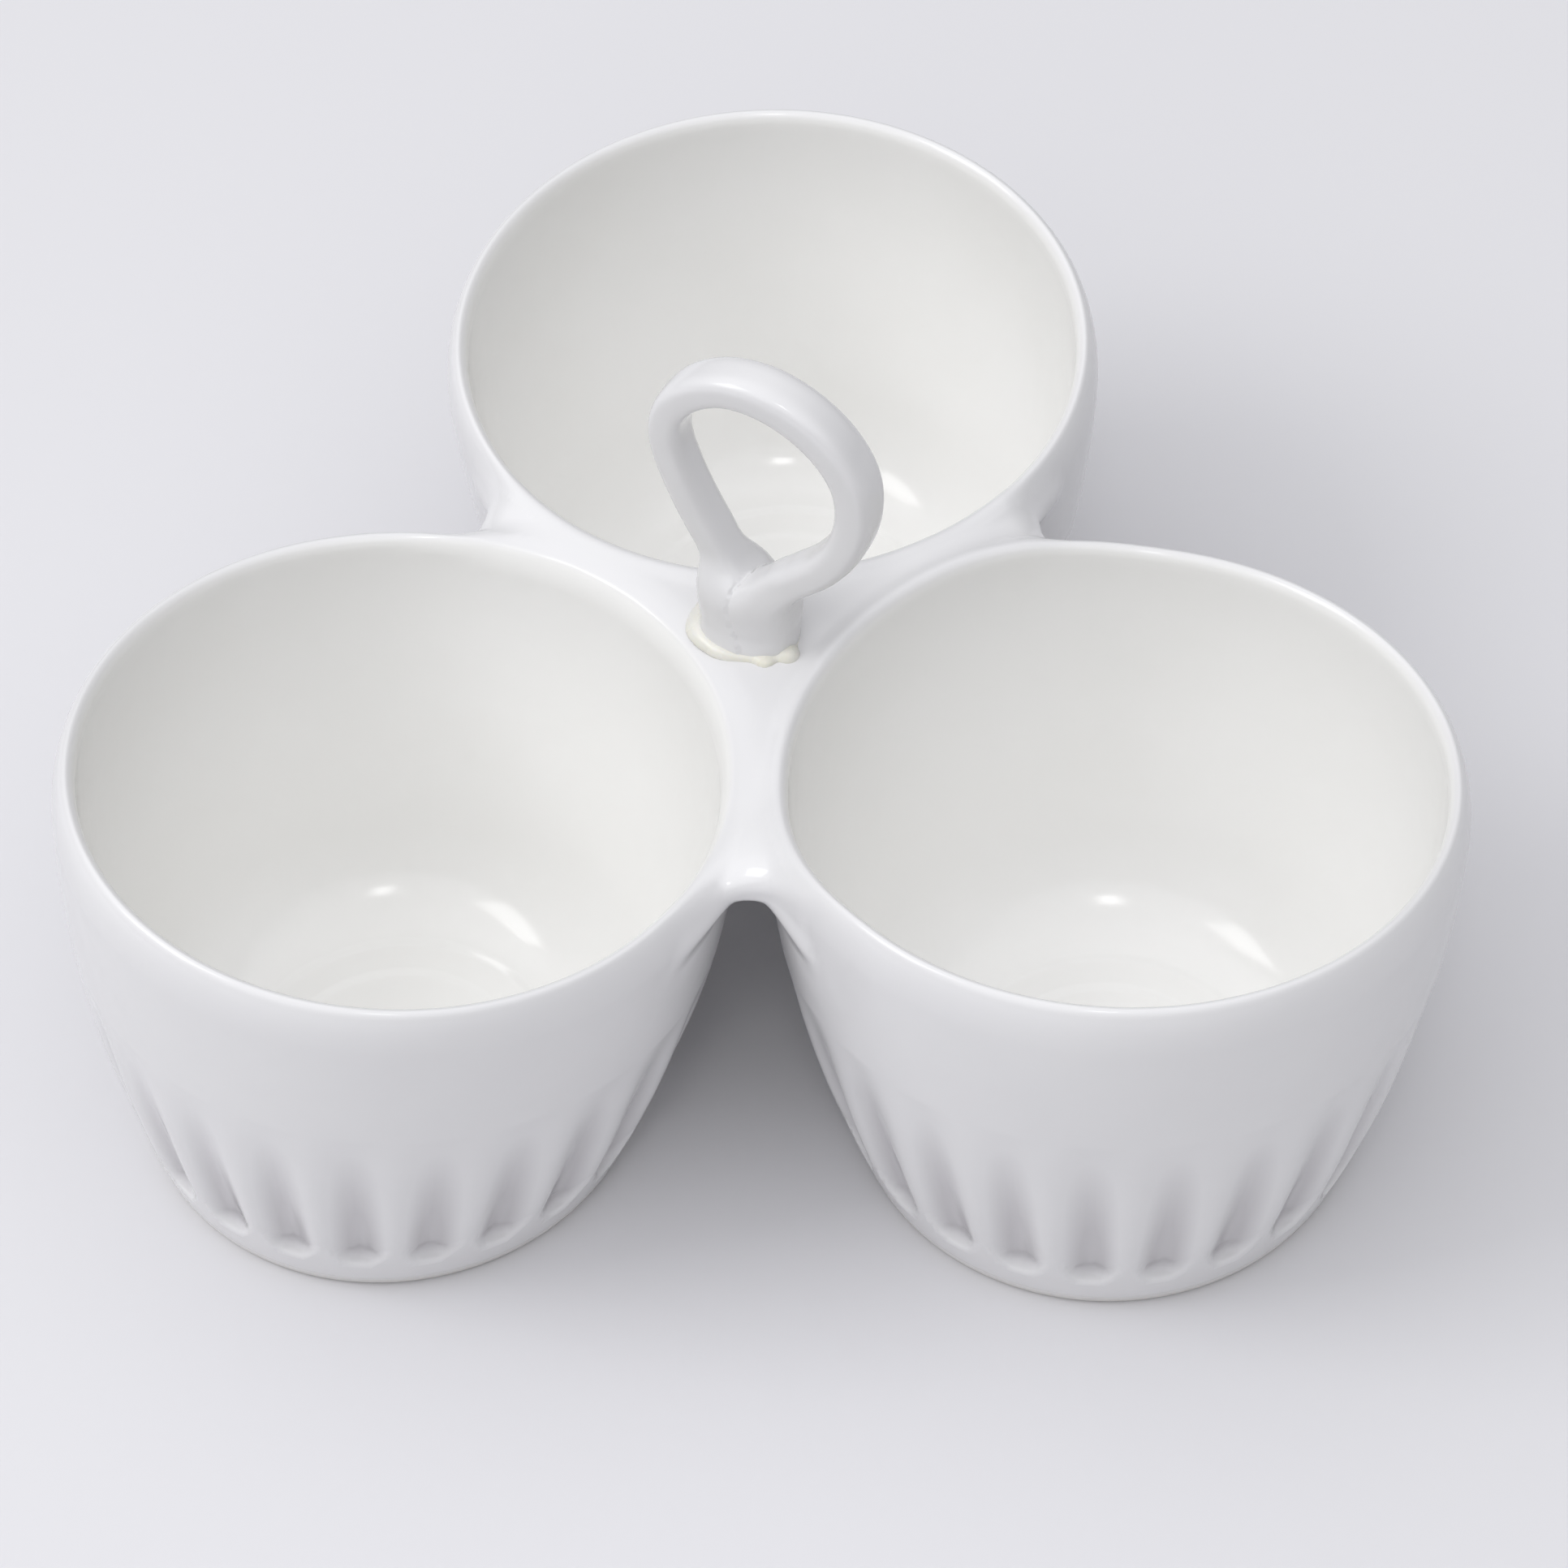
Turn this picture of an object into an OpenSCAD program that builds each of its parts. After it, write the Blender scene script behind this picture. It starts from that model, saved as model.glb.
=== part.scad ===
// Three-cup chip and dip server: three fluted bowls joined by a web at their lips,
// with a standing finger loop in the middle. Millimetres, +Z up, feet on z = 0.

/* [Cups] */
// Radius of a cup at its lip
rim_r = 55; // [52:0.5:58]
// Height of the lip above the table, on the cup's own axis
cup_h = 80; // [76:0.5:86]
// How much narrower the foot is than the lip, as a share of the lip radius
taper = 0.27; // [0.24:0.01:0.30]
// Thickness of the rounded lip
lip_t = 3.2; // [2.8:0.1:3.6]
// Thickness of the wall where it meets the floor
wall_t = 4.4; // [4:0.1:5.5]
// Thickness of the floor above the table
floor_t = 6; // [5:0.1:7]
// Radius of the corner between the inner wall and the floor
corner_r = 6; // [4:0.5:8]
// Lean of each cup towards the middle, in degrees
cup_lean = 3.2; // [2:0.1:4]
// Gap between neighbouring lips, filled by the web
lip_gap = 1; // [0.8:0.1:2]

/* [Foot] */
// Width of the bare ring that each cup stands on
ring_w = 4.5; // [3.5:0.1:6]
// Depth of the hollow inside the foot ring
recess = 1.6; // [1:0.1:2]

/* [Flutes] */
// Number of flutes round each cup
flute_count = 24; // [20:1:28]
// Radius of the round cutter that shapes a flute
flute_r = 8; // [7:0.5:9]
// How deep a flute is at its lower end
flute_depth = 1.3; // [0.8:0.1:1.6]
// Height of the flutes' lower ends
flute_low = 7; // [6:0.5:9]
// Height at which the flutes fade out
flute_high = 40; // [34:1:44]

/* [Web] */
// Height of the web's upper face
web_top = 75.5; // [74:0.1:76]
// Thickness of the web
web_t = 5.5; // [5:0.1:7]
// Distance from the middle to the web's edge in each notch
web_reach = 54; // [50:0.5:56]

/* [Handle] */
// Height of the loop's top above the table
loop_top = 134; // [126:1:138]
// Radius of the loop's centre line
loop_r = 16.3; // [15:0.1:18]
// Height above the web at which the two legs of the loop meet
neck_h = 12.5; // [11:0.5:14]
// Sideways shift of the loop from the stalk
loop_shift = 3.5; // [0:0.5:4]
// Width of the strap, across the loop's plane
strap_w = 7.5; // [6.5:0.1:9]
// Thickness of the strap, in the loop's plane
strap_t = 5.8; // [5:0.1:6.5]
// Turn of the loop's plane about the upright axis, in degrees
loop_turn = -24; // [-90:1:90]
// Radius of the stalk under the loop
stalk_r = 5.8; // [5:0.1:6.2]
// Radius of the stalk's flared foot
foot_flare_r = 7.2; // [6.8:0.1:7.8]
// Width of the bead of adhesive round the stalk's foot
bead_w = 2.4; // [1.8:0.1:2.8]

/* [Hidden] */

round_fn = 96;
overcut = 1;
back_angle = 90;
left_angle = 210;
right_angle = 330;
glaze = [0.93, 0.93, 0.92];
bead_colour = [0.89, 0.87, 0.76];

// A lip of radius rim_r, centred rim_offset from the middle, touches its neighbours but for lip_gap.
rim_offset = (2 * rim_r + lip_gap) / sqrt(3);
foot_offset = rim_offset + cup_h * sin(cup_lean);
foot_r = rim_r * (1 - taper);
// The leaning cup is cut flat on the table, so it starts this far below it.
sink = foot_r * sin(cup_lean) + 0.5;

// Distances of the back cup's lip and the front cups' lips from the middle, along Y.
reach_back = rim_offset + rim_r * cos(cup_lean);
front_tilt = sin(cup_lean) * sin(left_angle);
reach_front = -rim_offset * sin(left_angle) + rim_r * sqrt(1 - front_tilt * front_tilt);
// Moves the middle of the three cups so that the model's box is centred on the origin.
centre_y = (reach_front - reach_back) / 2;

// Radius of the cup's outside at height z: a parabola that is upright at the lip.
function outer_r(z) = rim_r * (1 - taper * pow(1 - z / cup_h, 2));

// Radius of the cup's inside at height z: the wall thins steadily towards the lip.
function inner_r(z) = outer_r(z) - lip_t + 0.3 - (wall_t - lip_t) * (1 - z / cup_h);

lip_z = cup_h - lip_t / 2;
outer_steps = 12;
inner_steps = 9;
corner_steps = 5;
corner_z = floor_t + corner_r;
corner_x = inner_r(corner_z) - corner_r;

outer_wall = [
    for (i = [0:outer_steps])
        let (z = 3 + (lip_z - 3) * i / outer_steps)
            [outer_r(z) - (i == outer_steps ? 0.1 : 0), z]
];
foot_edge = [[foot_r - 1.6, -sink], [foot_r - 1.4, 0], [foot_r - 0.3, 1.2]];
inner_wall = [
    for (i = [0:inner_steps])
        let (z = lip_z + (corner_z - lip_z) * i / inner_steps)
            [inner_r(z) - (i == 0 ? 0.2 : 0), z]
];
inner_corner = [
    for (i = [1:corner_steps])
        let (a = 90 * i / corner_steps)
            [corner_x + corner_r * cos(a), corner_z - corner_r * sin(a)]
];

// Stands a lathe-turned shape at one cup's place, leaning towards the middle.
module place_cup(angle) {
    rotate([0, 0, angle])
        translate([foot_offset, 0, 0])
            rotate([0, -cup_lean, 0])
                children();
}

// Moves everything so that the model's box is centred on the origin.
module centred() {
    translate([0, centre_y, 0]) children();
}

module lip() {
    rotate_extrude($fn = round_fn)
        translate([rim_r - lip_t / 2, lip_z]) circle(d = lip_t, $fn = 32);
}

// The cup with its inside filled, for cutting the web to fit.
module cup_outside() {
    rotate_extrude($fn = round_fn)
        polygon(concat([[0, -sink]], foot_edge, outer_wall, [[0, lip_z]]));
    lip();
}

module cup_wall() {
    rotate_extrude($fn = round_fn)
        polygon(concat([[0, -sink]], foot_edge, outer_wall, inner_wall, inner_corner, [[0, floor_t]]));
    lip();
}

// Slope of the wall at height z, in degrees from upright.
function wall_slope(z) = atan(2 * rim_r * taper * (1 - z / cup_h) / cup_h);

// Distance from the axis to a flute cutter's centre that bites depth into the wall at height z.
function cutter_x(z, depth) = outer_r(z) - depth + flute_r / cos(wall_slope(z));

// Every second flute, starting at the given one: round-ended cutters that lean outwards
// a little faster than the wall, so that each flute fades out upwards.
module flutes(first) {
    start_z = flute_low + sqrt(2 * flute_r * flute_depth);
    start_x = cutter_x(start_z, flute_depth);
    tilt = atan((cutter_x(flute_high, 0) - start_x) / (flute_high - start_z));
    for (i = [first:2:flute_count - 1])
        rotate([0, 0, (i + 0.5) * 360 / flute_count])
            translate([start_x, 0, start_z])
                rotate([0, tilt, 0]) {
                    cylinder(r = flute_r, h = flute_high, $fn = 48);
                    sphere(r = flute_r, $fn = 48);
                }
}

module cup(angle) {
    color(glaze)
        centred()
            difference() {
                place_cup(angle) difference() {
                    cup_wall();
                    flutes(0);
                    flutes(1);
                }
                translate([-500, -500, -100]) cube([1000, 1000, 100]);
                rotate([0, 0, angle])
                    translate([foot_offset, 0, -overcut])
                        cylinder(r = foot_r - 1.4 - ring_w, h = recess + overcut, $fn = round_fn);
            }
}

module cup_back() {
    cup(back_angle);
}

module cup_left() {
    cup(left_angle);
}

module cup_right() {
    cup(right_angle);
}

// A notch is a circle that touches two neighbouring lips and comes within web_reach of the middle.
half_pitch = rim_offset * sin(60);
near_pitch = rim_offset * cos(60);
notch_gap = web_reach - near_pitch;
notch_r = (half_pitch * half_pitch + notch_gap * notch_gap - rim_r * rim_r) / (2 * (rim_r - notch_gap));

module web_outline() {
    difference() {
        circle(r = web_reach + notch_r, $fn = round_fn);
        for (angle = [30, 150, 270])
            rotate(angle) translate([web_reach + notch_r, 0]) circle(r = notch_r, $fn = round_fn);
        for (angle = [back_angle, left_angle, right_angle])
            rotate(angle) translate([rim_offset, 0]) circle(r = rim_r - lip_t / 2, $fn = round_fn);
    }
}

module centre_web() {
    color(glaze)
        centred()
            difference() {
                translate([0, 0, web_top - web_t])
                    linear_extrude(web_t) web_outline();
                for (angle = [back_angle, left_angle, right_angle])
                    place_cup(angle) cup_outside();
            }
}

neck_z = web_top + neck_h;
loop_z = loop_top - strap_t / 2 - loop_r;
loop_dist = norm([loop_shift, loop_z - neck_z]);
loop_bearing = atan2(loop_z - neck_z, loop_shift);
leg_spread = asin(loop_r / loop_dist);
leg_len = sqrt(loop_dist * loop_dist - loop_r * loop_r);
leg_tuck = 0.6;

// Rounded oblong cross-section of the strap: thickness along X, width along Y.
module strap_section(share) {
    side = [strap_t / 2 * share, strap_w / 2 * share];
    polygon([
        for (i = [0:15])
            let (a = 360 * (i + 0.5) / 16, c = cos(a), s = sin(a))
                [side[0] * sign(c) * pow(abs(c), 0.75), side[1] * sign(s) * pow(abs(s), 0.75)]
    ]);
}

// One straight leg from inside the stalk to the loop's arc, along a bearing in the loop's plane.
// It is a shade slimmer than the arc, and runs a little way into it.
module leg(bearing, share) {
    translate([0, 0, neck_z])
        rotate([0, 90 - bearing, 0])
            translate([0, 0, -strap_t / 2])
                linear_extrude(leg_len + strap_t / 2 + leg_tuck) strap_section(share);
}

module strap_loop() {
    translate([loop_shift, 0, loop_z])
        rotate([90, 0, 0])
            rotate([0, 0, loop_bearing - 90 - leg_spread])
                rotate_extrude(angle = 180 + 2 * leg_spread, $fn = round_fn)
                    translate([loop_r, 0]) strap_section(1);
    leg(loop_bearing - leg_spread, 0.96);
    leg(loop_bearing + leg_spread, 0.98);
}

module stalk() {
    translate([0, 0, web_top])
        rotate_extrude($fn = round_fn)
            polygon([
                [0, 0], [foot_flare_r, 0], [foot_flare_r - 0.7, 1.5], [stalk_r, 4],
                [stalk_r, neck_h - 2], [stalk_r - 1.6, neck_h + 0.6], [0, neck_h + 0.6]
            ]);
}

module handle_loop() {
    color(glaze)
        centred()
            rotate([0, 0, loop_turn]) {
                strap_loop();
                stalk();
            }
}

module handle_bead() {
    inside = foot_flare_r - 0.4;
    outside = foot_flare_r + bead_w;
    color(bead_colour)
        centred()
            translate([0, 0, web_top])
                difference() {
                    rotate_extrude($fn = round_fn)
                        polygon(concat([[inside, 0]], [
                            for (i = [0:6])
                                let (a = 15 * i)
                                    [inside + (outside - inside) * cos(a), 2 * sin(a)]
                        ]));
                    translate([0, 0, -web_top]) stalk();
                }
}

cup_back();
cup_left();
cup_right();
centre_web();
handle_loop();
handle_bead();
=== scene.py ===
"""Looks of a three-cup chip and dip server: glazed fluted cups, their joining web and a standing finger loop.

The skin of the cups and the web is worked out as one smooth solid, so that the glaze runs over the joints
without a step, and is then parted into the four pieces along matching seams. Lengths are in millimetres
until a mesh is made, and the middle of the three cups is at x = 0, y = 0.
"""
import math

import bpy
import numpy as np
from mathutils import Matrix, Vector
from mathutils.geometry import delaunay_2d_cdt


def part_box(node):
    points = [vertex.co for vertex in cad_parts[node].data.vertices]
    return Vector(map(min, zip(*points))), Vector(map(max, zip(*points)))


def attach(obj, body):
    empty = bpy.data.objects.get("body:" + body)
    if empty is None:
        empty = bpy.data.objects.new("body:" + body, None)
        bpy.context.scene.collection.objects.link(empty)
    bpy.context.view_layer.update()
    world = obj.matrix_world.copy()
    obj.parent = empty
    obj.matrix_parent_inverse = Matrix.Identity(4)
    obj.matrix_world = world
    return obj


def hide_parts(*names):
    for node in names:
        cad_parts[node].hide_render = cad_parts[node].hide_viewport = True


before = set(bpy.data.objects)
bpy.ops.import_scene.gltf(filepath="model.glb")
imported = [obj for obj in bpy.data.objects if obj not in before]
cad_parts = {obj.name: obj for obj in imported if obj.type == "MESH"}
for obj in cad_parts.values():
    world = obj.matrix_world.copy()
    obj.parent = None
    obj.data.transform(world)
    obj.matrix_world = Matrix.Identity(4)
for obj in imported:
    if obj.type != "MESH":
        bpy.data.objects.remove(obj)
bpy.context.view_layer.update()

MM = 0.001


def box_mm(node):
    """Lowest and highest corner of a CAD node, in millimetres."""
    low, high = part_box(node)
    return np.array(low) / MM, np.array(high) / MM


back_low, back_high = box_mm("cup_back")
web_low, web_high = box_mm("centre_web")
loop_high = box_mm("handle_loop")[1]
bead_low, bead_high = box_mm("handle_bead")

# ---- Sizes ----
RIM_R = (back_high[0] - back_low[0]) / 2
CUP_H = 80.0
TAPER = 0.27
LIP_T = 3.9
WALL_T = 4.6
SHOULDER_W = 2.6
SHOULDER_H = 8.0
LIP_ROUND = 2.7
FLOOR_T = 6.0
CORNER_BLEND = 14.0
# Radius and drop of each turned ring in the floor, and the width over which it drops.
FLOOR_STEPS = {26.5: 0.5, 20.6: 0.4}
STEP_W = 1.8
FOOT_ROUND = 1.8
FOOT_EDGE = 1.4
RING_W = 4.5
RECESS = 1.6
RECESS_BLEND = 1.2
CUP_LEAN = 3.4
AXIS_SPLAY = 3.2
LIP_GAP = 1.0
RIM_OFFSET = (2 * RIM_R + LIP_GAP) / math.sqrt(3)
FOOT_OFFSET = RIM_OFFSET + CUP_H * math.sin(math.radians(AXIS_SPLAY))
SHOULDER_Z = CUP_H - SHOULDER_H
FOOT_R = RIM_R * (1 - TAPER)
HOLLOW_R = FOOT_R - FOOT_EDGE - RING_W

FLUTES = 24
FLUTE_DEPTH = 2.5
FLUTE_LOW = 8.5
FLUTE_END = 6.5
FLUTE_HIGH = 50.0
FLUTE_FADE = 14.0
FLUTE_RISE = 3.0

WEB_TOP = web_high[2]
WEB_LOW = web_low[2] - 1.2
WEB_REACH = 55.2
WEB_DISC = 36.0
WEB_SINK = 3.0
WEB_DIP = 0.5
WEB_EDGE_BLEND = 5.0
WEB_BLEND_TOP = 2.5
WEB_BLEND_UNDER = 5.0
WEB_ZONE = 25.0
# Towards the necks the web dishes between the lips and then falls, more so at the two back necks.
DISH_SLOPE = 0.3
DISH_START = 30.0
DISH_END = 50.0
FALL = 1.0
FALL_AT_BACK = 3.0
FALL_START = 48.0
FALL_END = 60.0
# The web spans the gap between two rims out to WEB_REACH from the middle.
REACH_GAP = math.hypot(RIM_OFFSET * math.sin(math.radians(60)),
                       WEB_REACH - RIM_OFFSET * math.cos(math.radians(60))) - RIM_R
WEB_SPAN = 4 * (REACH_GAP + WEB_SINK)
LIP_BLEND = 2.5
LIP_SHARP = 0.4
LIP_DEPTH = 13.0
SOFT_START = 36.0
SOFT_END = 66.0
SEAM_GAP = 0.35
SNAP = 0.12
SHORTEST_EDGE = 0.2

LOOP_TURN = math.radians(-24)
MIDDLE = np.array([0.0, (bead_low[1] + bead_high[1]) / 2, 0.0])

# How far the hand-made cups stray from their places: the extra lean outwards and sideways in degrees,
# the shifts of rim and foot, the change of the rim's radius, the turn of the flutes as a share of their
# pitch, and how much softer the lip's inner edge is near the web. The leans die away towards the middle.
CUPS = {
    "cup_back": dict(bearing=90, lean=0.3, list=1.4, rim=(0.4, -0.4), foot=(0.0, 0.0), swell=-0.2, turn=0.0,
                     soft=0.6),
    "cup_left": dict(bearing=210, lean=2.8, list=0.1, rim=(2.7, -0.1), foot=(-1.3, -0.3), swell=-0.9,
                     turn=0.65, soft=4.0),
    "cup_right": dict(bearing=330, lean=-1.7, list=-6.0, rim=(3.0, 0.6), foot=(-2.1, -1.6), swell=0.0,
                      turn=0.7, soft=0.0),
}
STRAY_START = 30.0
STRAY_END = 72.0


# ---- Solid shapes as fields: negative inside, zero on the skin, roughly the distance in millimetres ----
def smooth_min(a, b, blend):
    share = np.maximum(blend - np.abs(a - b), 0) / blend
    return np.minimum(a, b) - share * share * blend / 4


def smooth_max(a, b, blend):
    return -smooth_min(-a, -b, blend)


def ease(t):
    t = np.clip(t, 0, 1)
    return t * t * (3 - 2 * t)


def outer_r(height, swell):
    return RIM_R * (1 - TAPER * (1 - height / CUP_H) ** 2) + swell * height / CUP_H


def inner_r(height, swell):
    return outer_r(height, swell) - LIP_T - (WALL_T - LIP_T) * (1 - height / CUP_H)


def cup_axes(cup):
    """Outward and sideways directions of a cup, and the middles of its foot and rim."""
    bearing = math.radians(cup["bearing"])
    out = (math.cos(bearing), math.sin(bearing))
    foot = [FOOT_OFFSET * out[i] + cup["foot"][i] for i in (0, 1)]
    rim = [RIM_OFFSET * out[i] + cup["rim"][i] for i in (0, 1)]
    return out, (-out[1], out[0]), foot, rim


def lift_of(cup, x, y, outward, sideways, level):
    """How far the cup's lean raises a point."""
    stray = ease((np.hypot(x, y) - STRAY_START) / (STRAY_END - STRAY_START))
    lean = np.radians(CUP_LEAN + cup["lean"] * stray)
    tip = np.radians(cup["list"] * stray)
    return (outward * lean + sideways * tip) * ease(level)


def cup_frame(cup, p):
    """Distance from the cup's axis, height along it and bearing round it of the points p."""
    out, side, foot, rim = cup_axes(cup)
    x, y, z = p[..., 0], p[..., 1], p[..., 2]
    level = z / CUP_H
    for _ in range(4):
        dx = x - foot[0] - (rim[0] - foot[0]) * level
        dy = y - foot[1] - (rim[1] - foot[1]) * level
        outward = dx * out[0] + dy * out[1]
        sideways = dx * side[0] + dy * side[1]
        lift = lift_of(cup, x, y, outward, sideways, level)
        level = (z - lift) / CUP_H
    return np.sqrt(dx * dx + dy * dy + lift * lift), level * CUP_H, np.arctan2(sideways, outward)


def on_cup(cup, radius, height, bearing):
    """Points from distances to the cup's axis, heights along it and bearings: cup_frame backwards."""
    out, side, foot, rim = cup_axes(cup)
    level = height / CUP_H
    lift = 0.0
    for _ in range(4):
        flat = np.sqrt(np.maximum(radius ** 2 - lift ** 2, 0))
        outward, sideways = flat * np.cos(bearing), flat * np.sin(bearing)
        x, y = (foot[i] + (rim[i] - foot[i]) * level + outward * out[i] + sideways * side[i] for i in (0, 1))
        lift = lift_of(cup, x, y, outward, sideways, level)
    return np.stack([x, y, height + lift], -1)


def flute_bite(cup, radius, height, bearing):
    """Depth that the flutes take off the outside: round-ended hollows that fade out upwards."""
    wave = 0.5 - 0.5 * np.cos(bearing * FLUTES + cup["turn"] * 2 * math.pi)
    start = FLUTE_LOW + FLUTE_END * (1 - np.sqrt(np.maximum(1 - (1 - wave) ** 2, 0)))
    fade = 1 - np.clip((height - FLUTE_FADE) / (FLUTE_HIGH - FLUTE_FADE), 0, 1) ** 1.3
    return FLUTE_DEPTH * ease((height - start) / FLUTE_RISE) * fade * wave


def ellipse_gap(u, v, wide, tall):
    """Distance from an ellipse, nearly, for points with u and v measured from its middle."""
    u, v = np.maximum(u, 0), np.maximum(v, 0) + 1e-6
    size = np.hypot(u / wide, v / tall)
    return (size - 1) * size / np.hypot(u / wide ** 2, v / tall ** 2)


def shell_field(cup, radius, height, bearing):
    """The outside of a cup as if it were solid: fluted wall, shoulder and top."""
    swell = cup["swell"]
    low = np.clip(height, 0, CUP_H)
    crest_r = outer_r(SHOULDER_Z, swell) - SHOULDER_W
    wall = (radius - outer_r(low, swell) + flute_bite(cup, radius, height, bearing)) * squareness(low)
    shoulder = ellipse_gap(radius - crest_r, height - SHOULDER_Z, SHOULDER_W, SHOULDER_H)
    return np.where(height > SHOULDER_Z, shoulder, wall)


def hollow_field(cup, radius, height):
    """Positive in the cup's hollow, which has a rounded corner and turned rings in its floor."""
    low = np.clip(height, 0, CUP_H)
    drops = sum(drop * (1 - ease((radius - ring) / STEP_W + 0.5)) for ring, drop in FLOOR_STEPS.items())
    floor_z = FLOOR_T - drops
    wall = (radius - inner_r(low, cup["swell"])) * squareness(low)
    return -smooth_max(wall, floor_z - height, CORNER_BLEND)


def squareness(height):
    """Turns a sideways distance from the curved wall into the distance square to it."""
    slope = 2 * RIM_R * TAPER * (1 - height / CUP_H) / CUP_H
    return 1 / np.sqrt(1 + slope ** 2)


def lip_round(cup, p, height):
    """How round the lip's inner edge is, which counts only near the rim."""
    near_web = 1 - ease((np.hypot(p[..., 0], p[..., 1]) - SOFT_START) / (SOFT_END - SOFT_START))
    near_rim = ease((height - CUP_H + LIP_DEPTH) / 10)
    return LIP_SHARP + (LIP_ROUND - LIP_SHARP + cup["soft"] * near_web) * near_rim


def web_field(p, frames):
    """The web: a slab level with the rims, dished and falling towards the necks, with a notch at each end."""
    x, y, z = p[..., 0], p[..., 1], p[..., 2]
    reach = np.hypot(x, y)
    dish = DISH_SLOPE * ease((reach - DISH_START) / (DISH_END - DISH_START))
    back = ease((y - 8) / 16)
    edge = top = None
    for cup, (radius, height, _) in frames:
        gap = radius - outer_r(np.clip(height, 0, CUP_H), cup["swell"])
        edge = gap if edge is None else smooth_min(edge, gap, WEB_SPAN)
        level = height + dish * np.maximum(gap, 0)
        top = level if top is None else smooth_min(top, level, 1.5)
    fall = FALL + (FALL_AT_BACK - FALL) * back
    top = top + fall * ease((reach - FALL_START) / (FALL_END - FALL_START))
    edge = smooth_min(edge + WEB_SINK, reach - WEB_DISC, 8) + 10 * ease((reach - WEB_REACH - 4) / 14)
    slab = smooth_max(edge, top - CUP_H + WEB_DIP, WEB_EDGE_BLEND)
    return smooth_max(slab, WEB_LOW - z, 4)


def skin_field(p):
    """The three cups and the web run together."""
    frames = [(cup, cup_frame(cup, p)) for cup in CUPS.values()]
    solid = None
    for cup, frame_of_cup in frames:
        shell = shell_field(cup, *frame_of_cup)
        solid = shell if solid is None else smooth_min(solid, shell, LIP_BLEND)
    z = p[..., 2]
    near = z > WEB_TOP - WEB_ZONE
    if near.any():
        close = [(cup, [part[near] for part in frame_of_cup]) for cup, frame_of_cup in frames]
        blend = WEB_BLEND_UNDER - (WEB_BLEND_UNDER - WEB_BLEND_TOP) * ease((z[near] - WEB_LOW + 1) / 6)
        solid[near] = smooth_min(solid[near], web_field(p[near], close), blend)
    for cup, (radius, height, _) in frames:
        solid = smooth_max(solid, hollow_field(cup, radius, height), lip_round(cup, p, height))
    solid = smooth_max(solid, -z, FOOT_ROUND)
    for cup, (radius, _, _) in frames:
        solid = smooth_max(solid, -np.maximum(radius - HOLLOW_R, z - RECESS), RECESS_BLEND)
    return solid


def seam_field(cup, p):
    """Negative on the cup's side of its seam, which runs where the skin leaves the cup's own outside."""
    return shell_field(cup, *cup_frame(cup, p)) - SEAM_GAP


# ---- Meshing a field ----
TINY = 0.02


def unit(vectors):
    return vectors / np.maximum(np.linalg.norm(vectors, axis=-1, keepdims=True), 1e-9)


def gradient(field, p, tiny=TINY):
    """The field's slope at p, taken over the distance tiny to each side."""
    parts = []
    for axis in range(3):
        step = np.zeros(3)
        step[axis] = tiny
        parts.append((field(p + step) - field(p - step)) / (2 * tiny))
    return np.stack(parts, -1)


def settle(field, p, passes=2):
    """Moves points straight onto the skin."""
    for _ in range(passes):
        slope = gradient(field, p)
        move = field(p) / np.maximum((slope * slope).sum(-1), 0.05)
        p = p - slope * np.clip(move, -1, 1)[:, None]
    return p


def settle_on_seam(field, seam, p, passes=5):
    """Moves points onto the curve where the skin meets a seam."""
    for _ in range(passes):
        a, b = gradient(field, p), gradient(seam, p)
        fa, fb = field(p), seam(p)
        aa, bb, ab = (a * a).sum(-1), (b * b).sum(-1), (a * b).sum(-1)
        scale = 1 / np.maximum(aa * bb - ab * ab, 0.01)
        ka = (bb * fa - ab * fb) * scale
        kb = (aa * fb - ab * fa) * scale
        move = a * ka[:, None] + b * kb[:, None]
        length = np.sqrt((move * move).sum(-1, keepdims=True))
        p = p - move * np.minimum(1, 0.5 / np.maximum(length, 1e-9))
    return p


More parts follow.
